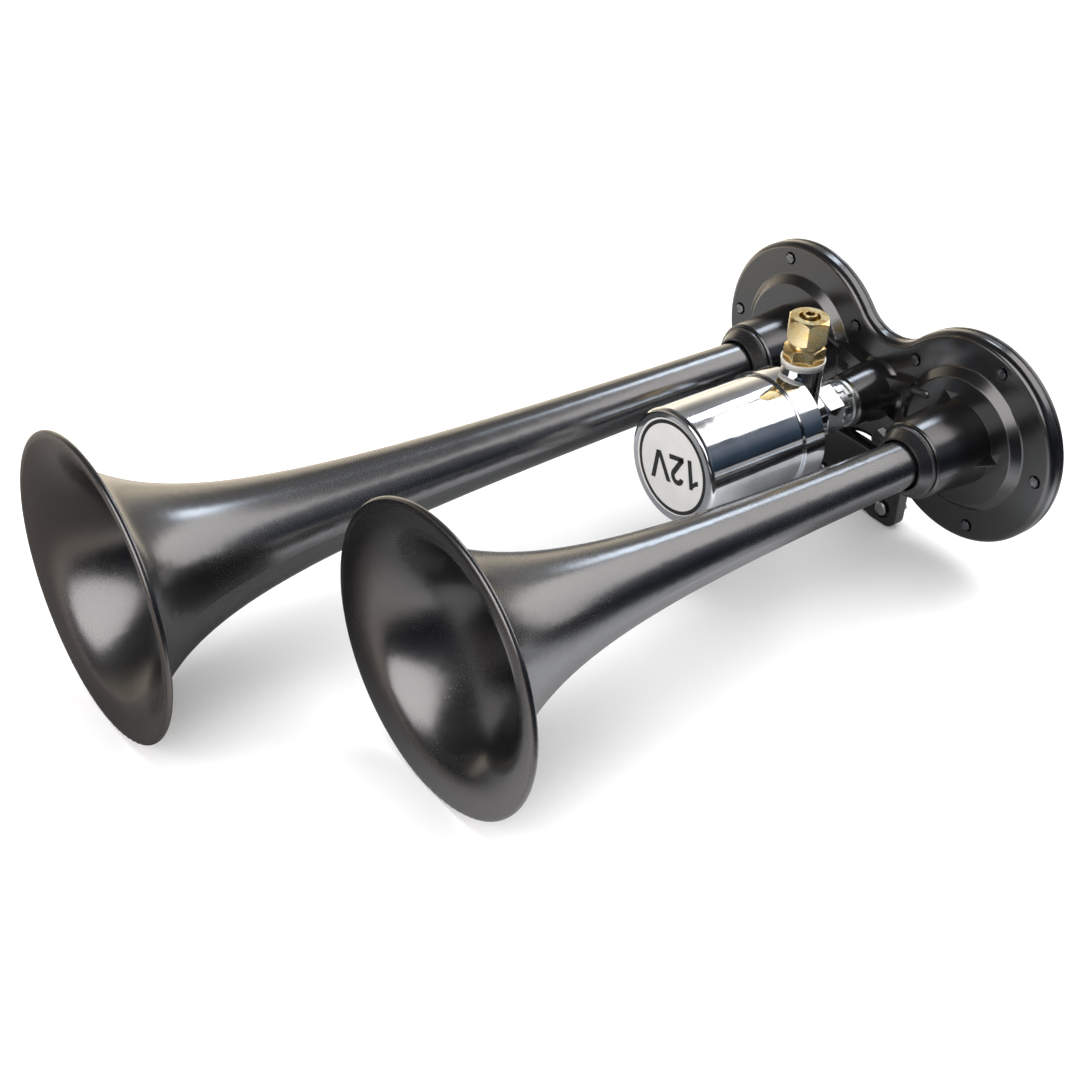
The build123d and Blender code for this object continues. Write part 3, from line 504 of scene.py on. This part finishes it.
def addLabelPrint(settings):
    # the ring lies between two circles; 1, V and the base of the 2 are outlines; the rest of the 2 is
    # an arc and a straight line, widened to both sides by half the stroke
    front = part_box("label_disc")[0][1] / mm - settings["lift"]
    vertices, faces = [], []

    def addOutline(points):
        first = sum(len(block) for block in vertices)
        vertices.append(onLabel(np.array(points, float), settings, front))
        faces.append(list(range(first, first + len(points))))

    def addStrip(left, right, closed):
        # quads between two rows of points, the first row on the left of the way they run
        first = sum(len(block) for block in vertices)
        count = len(left)
        vertices.append(onLabel(np.concatenate([left, right]), settings, front))
        here = np.arange(count if closed else count - 1)
        after = (here + 1) % count
        faces.extend((first + np.stack([here + count, after + count, after, here], 1)).tolist())

    angles = np.linspace(0, 2 * pi, settings["ringSteps"], endpoint=False)
    circle = np.stack([np.cos(angles), np.sin(angles)], 1)
    radius, half = settings["ringRadius"], settings["ringWidth"] / 2
    addStrip(circle * (radius - half), circle * (radius + half), True)
    for key in ("one", "vee", "twoBase"):
        addOutline(settings[key])
    (alongMiddle, upMiddle), radius, first, last = settings["twoBowl"]
    angles = np.radians(np.linspace(first, last, settings["bowlSteps"]))
    bowl = np.stack([alongMiddle + radius * np.cos(angles), upMiddle + radius * np.sin(angles)], 1)
    path = np.concatenate([bowl, [settings["twoFoot"]]])
    ahead = np.gradient(path, axis=0)
    ahead /= np.linalg.norm(ahead, axis=1, keepdims=True)
    side = np.stack([-ahead[:, 1], ahead[:, 0]], 1) * settings["stroke"] / 2
    addStrip(path + side, path - side, False)
    meshPiece("labelPrint", np.concatenate(vertices), faces, printInk, smooth=False)


addLabelPrint(labelPrint)
print("label printed")


# beads that close the ends of the air galleries in front of the housing's ribs
galleryBeads = {
    "radius": 2.1,
    "start": 18.0,                # millimetres along each rib from the middle plane
    "end": 27.0,
    "axis": -9.0,                 # Y of the gallery axis
    "ribs": [(5.8, 12), (5.8, 168), (-5.8, -12), (-5.8, -168)],   # height at the middle, turn in degrees
    "sides": 32,
    "steps": 9,
}


def addGalleryBeads(settings):
    # a straight round bead with a ball at each end, where the radius falls as the cosine of an angle
    # and the ring moves on by its sine
    radius, steps = settings["radius"], settings["steps"]
    tip = np.linspace(0, pi / 2, steps + 1)[:-1]
    bulge = radius * np.sin(tip)
    along = np.concatenate([settings["start"] - bulge[::-1], settings["end"] + bulge])
    wide = radius * np.concatenate([np.cos(tip[::-1]), np.cos(tip)])
    turning = np.linspace(0, 2 * pi, settings["sides"], endpoint=False)
    count, sides = len(along), settings["sides"]
    quads = tubeQuads(count, sides)
    last, turnOn = (count - 1) * sides, (np.arange(sides) + 1) % sides
    lowFan = np.stack([np.full(sides, count * sides), np.arange(sides), turnOn], 1)
    highFan = np.stack([np.full(sides, count * sides + 1), last + turnOn, last + np.arange(sides)], 1)
    vertices, faces = [], []
    for number, (height, turn) in enumerate(settings["ribs"]):
        ahead = np.array([cos(radians(turn)), 0, sin(radians(turn))])
        forward = np.array([0, -1, 0])
        side = np.cross(ahead, forward)
        foot = np.array([0, settings["axis"], height])
        ball = np.cos(turning)[:, None] * side + np.sin(turning)[:, None] * forward
        rings = foot + along[:, None, None] * ahead + wide[:, None, None] * ball
        poles = foot + np.array([[settings["start"] - radius], [settings["end"] + radius]]) * ahead
        vertices.append(np.concatenate([rings.reshape(-1, 3), poles]) * mm)
        first = number * (count * sides + 2)
        for block in (quads, lowFan, highFan):
            faces += (block + first).tolist()
    meshPiece("galleryBeads", np.concatenate(vertices), faces, mouldedNylon)


addGalleryBeads(galleryBeads)
print("gallery beads added")


# the valve's return spring, wound at one length; the real one shortens when the plunger is pulled in
returnSpring = {
    "wireRadius": 0.35,           # millimetres
    "turns": 6,
    "stepsPerTurn": 36,
    "sides": 12,
    "travel": 1.8,                # how far the plunger comes towards the fixed core; not used
}


def addReturnSpring(settings):
    # round wire along a helix: x and z go round as cosine and sine of the angle while y climbs evenly
    low, high = (np.array(corner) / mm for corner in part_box("plunger_spring"))
    wire, sides = settings["wireRadius"], settings["sides"]
    middleX, middleZ = (low[0] + high[0]) / 2, (low[2] + high[2]) / 2
    mean = (high[0] - low[0]) / 2 - wire
    turns = settings["turns"]
    angle = np.linspace(0, 2 * pi * turns, turns * settings["stepsPerTurn"] + 1)
    height = np.linspace(low[1] + wire, high[1] - wire, len(angle))
    outward = np.stack([np.cos(angle), np.zeros(len(angle)), np.sin(angle)], 1)
    spine = np.stack([np.full(len(angle), middleX), height, np.full(len(angle), middleZ)], 1)
    centre = spine + mean * outward
    along = np.gradient(centre, axis=0)
    along /= np.linalg.norm(along, axis=1, keepdims=True)
    across = np.cross(along, outward)
    turn = np.linspace(0, 2 * pi, sides, endpoint=False)
    section = np.cos(turn)[:, None] * outward[:, None] + np.sin(turn)[:, None] * across[:, None]
    rings = centre[:, None] + wire * section
    last = (len(angle) - 1) * sides
    ends = [list(range(sides))[::-1], list(range(last, last + sides))]
    faces = tubeQuads(len(angle), sides, flip=True).tolist() + ends
    piece = meshPiece("returnSpring", rings.reshape(-1, 3) * mm, faces, zincPlate)
    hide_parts("plunger_spring")
    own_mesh(piece)


addReturnSpring(returnSpring)
print("return spring wound")
